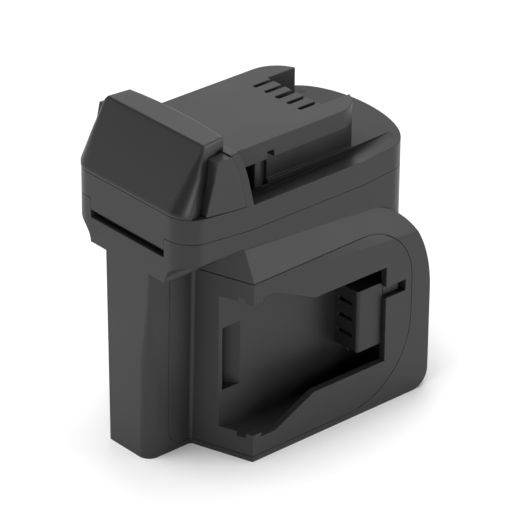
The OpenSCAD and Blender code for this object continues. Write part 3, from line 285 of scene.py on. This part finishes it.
def light_studio():
    world = bpy.data.worlds.new("studio")
    world.use_nodes = True
    tree = world.node_tree
    sky = tree.nodes["Background"]
    where = tree.nodes.new("ShaderNodeTexCoord")
    split = tree.nodes.new("ShaderNodeSeparateXYZ")
    tree.links.new(where.outputs["Generated"], split.inputs[0])
    height = tree.nodes.new("ShaderNodeMapRange")
    height.interpolation_type = "SMOOTHSTEP"
    height.inputs["From Min"].default_value = 0.0
    height.inputs["From Max"].default_value = SKY_OVERHEAD_FROM
    height.inputs["To Min"].default_value = SKY_AT_HORIZON
    height.inputs["To Max"].default_value = SKY_OVERHEAD
    tree.links.new(split.outputs["Z"], height.inputs["Value"])
    seen = tree.nodes.new("ShaderNodeLightPath")
    pick = tree.nodes.new("ShaderNodeMix")
    tree.links.new(seen.outputs["Is Camera Ray"], pick.inputs["Factor"])
    tree.links.new(height.outputs["Result"], pick.inputs["A"])
    pick.inputs["B"].default_value = SKY_SEEN
    tree.links.new(pick.outputs["Result"], sky.inputs["Strength"])
    sky.inputs["Color"].default_value = (1, 1, 1, 1)
    scene = bpy.context.scene
    scene.world = world
    scene.view_settings.view_transform = "Standard"
    scene.view_settings.look = "None"
    scene.view_settings.exposure = 0
    scene.view_settings.gamma = 1
    for light in LIGHTS:
        soft_light(*light)


def corners(piece):
    """Lowest and highest corner of a piece."""
    places = [vertex.co for vertex in piece.data.vertices]
    low = Vector([min(place[axis] for place in places) for axis in range(3)])
    high = Vector([max(place[axis] for place in places) for axis in range(3)])
    return low, high


def select_faces(piece, wanted):
    """Selects just the faces that are wanted, and leaves the piece in edit mode."""
    bpy.context.tool_settings.mesh_select_mode = (False, False, True)
    bpy.ops.object.mode_set(mode="EDIT")
    bpy.ops.mesh.select_all(action="DESELECT")
    bpy.ops.object.mode_set(mode="OBJECT")
    for face in piece.data.polygons:
        face.select = wanted(face)
    bpy.ops.object.mode_set(mode="EDIT")


def draw_rim_back(piece, amount):
    """Draws a bay insert's outer rim back, so that the seam around it shows as a dark line."""
    low, high = corners(piece)
    middle = (low + high) / 2
    right = 1 if middle.x > 0 else -1
    outside = max(right * low.x, right * high.x)
    points = piece.data.vertices

    def on_rim(face):
        away = face.center - middle
        away.x = 0
        return (
            abs(face.normal.x) < RIM_FACES_SIDEWAYS
            and max(right * points[i].co.x for i in face.vertices) > outside - RIM_TO_OUTSIDE
            and face.normal.dot(away.normalized()) > RIM_FACES_AWAY
            and away.length > RIM_FROM_MIDDLE
        )

    select_faces(piece, on_rim)
    bpy.ops.transform.shrink_fatten(value=-amount, use_even_offset=True)
    bpy.ops.object.mode_set(mode="OBJECT")


def lift_rim(piece, amount, lowest, highest):
    """Lifts a moulding's lower rim a little, so that the seam under it shows as a dark line."""
    points = [vertex.co for vertex in piece.data.vertices]
    band = [i for i, point in enumerate(points) if lowest < point.z < highest]
    outline = {band[i] for i in convex_hull_2d([points[i].xy for i in band])}

    def on_rim(face):
        return (
            face.normal.z < FACES_DOWN
            and lowest < face.center.z < highest
            and not outline.isdisjoint(face.vertices)
        )

    select_faces(piece, on_rim)
    bpy.ops.transform.translate(value=(0, 0, amount))
    bpy.ops.object.mode_set(mode="OBJECT")


def smooth_copy(node, ending):
    """Puts a merged and smoothed copy in a node's place."""
    bpy.ops.object.select_all(action="DESELECT")
    piece = bpy.data.objects.new(node + ending, nodes[node].data.copy())
    bpy.context.scene.collection.objects.link(piece)
    bpy.context.view_layer.objects.active = piece
    piece.select_set(True)
    bpy.ops.object.mode_set(mode="EDIT")
    bpy.ops.mesh.select_all(action="SELECT")
    bpy.ops.mesh.remove_doubles(threshold=MERGE_DISTANCE)
    if piece.data.has_custom_normals:
        bpy.ops.mesh.customdata_custom_splitnormals_clear()
    bpy.ops.mesh.mark_sharp(clear=True)
    bpy.ops.mesh.dissolve_limited(angle_limit=FLAT_TO_ANGLE)
    bpy.ops.object.mode_set(mode="OBJECT")
    if node.startswith("bay_cradle"):
        draw_rim_back(piece, CRADLE_SEAM)
    if node in LOWER_RIMS:
        lift_rim(piece, *LOWER_RIMS[node])
    if node in EDGE_RADII:
        edge = piece.modifiers.new("edge", "BEVEL")
        edge.width = EDGE_RADII[node]
        edge.segments = EDGE_SEGMENTS
        edge.limit_method = "ANGLE"
        edge.angle_limit = EDGE_FROM_ANGLE
        edge.use_clamp_overlap = False
        bpy.ops.object.modifier_apply(modifier="edge")
    bpy.ops.object.shade_smooth_by_angle(angle=SMOOTH_TO_ANGLE)
    level = piece.modifiers.new("level", "WEIGHTED_NORMAL")
    level.mode = "FACE_AREA"
    level.keep_sharp = True
    bpy.ops.object.modifier_apply(modifier="level")
    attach(piece, bodies[node])
    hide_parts(node)
    return piece


def shorten_with(spring):
    """Gives a button spring's copy a mesh of its own; the spring is not shortened here."""
    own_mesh(spring)


place_camera()
place_floor()
light_studio()

finishes = {
    "housing": moulded_plastic("housing_plastic", (0.018, 0.018, 0.0184), 0.42, EDGE_OF_HOUSING),
    "cap": moulded_plastic("cap_plastic", (0.0165, 0.0165, 0.0169), 0.38, EDGE_OF_CAP),
    "cradle": moulded_plastic("cradle_plastic", (0.017, 0.017, 0.0174), 0.43, EDGE_OF_CRADLE),
    "inner_plastic": moulded_plastic("inner_plastic", (0.015, 0.015, 0.0154), 0.42),
    "terminal_plastic": moulded_plastic("terminal_plastic", (0.012, 0.012, 0.0124), 0.44),
    "contact_brass": metal("contact_brass", (0.72, 0.55, 0.28), 0.34, (1, 6, 1)),
    "spring_steel": metal("spring_wire", (0.55, 0.55, 0.57), 0.3),
    "steel": metal("ground_steel", (0.62, 0.62, 0.64), 0.22, (0.1, 8, 8)),
    "screw_steel": metal("screw_steel", (0.3, 0.3, 0.32), 0.38),
    "board": moulded_plastic("solder_mask", (0.02, 0.13, 0.06), 0.3),
    "relay": moulded_plastic("relay_case", (0.03, 0.05, 0.2), 0.35),
    "capacitor": metal("capacitor_can", (0.25, 0.26, 0.32), 0.4),
    "chips": moulded_plastic("chip_epoxy", (0.02, 0.02, 0.02), 0.6),
    "connector": moulded_plastic("connector_nylon", (0.7, 0.68, 0.6), 0.5),
    "lead_red": moulded_plastic("red_lead", (0.45, 0.02, 0.015), 0.45),
    "lead_black": moulded_plastic("black_lead", (0.02, 0.02, 0.02), 0.45),
}
for node, slot in slots.items():
    materials = nodes[node].data.materials
    materials.clear()
    materials.append(finishes[slot])

for node in MOULDINGS:
    smooth_copy(node, "_moulding")
for joint in behaviour["joints"]:
    for held in joint["deforming_nodes"]:
        spring = smooth_copy(held["node"], "_coil")
        shorten_with(spring)
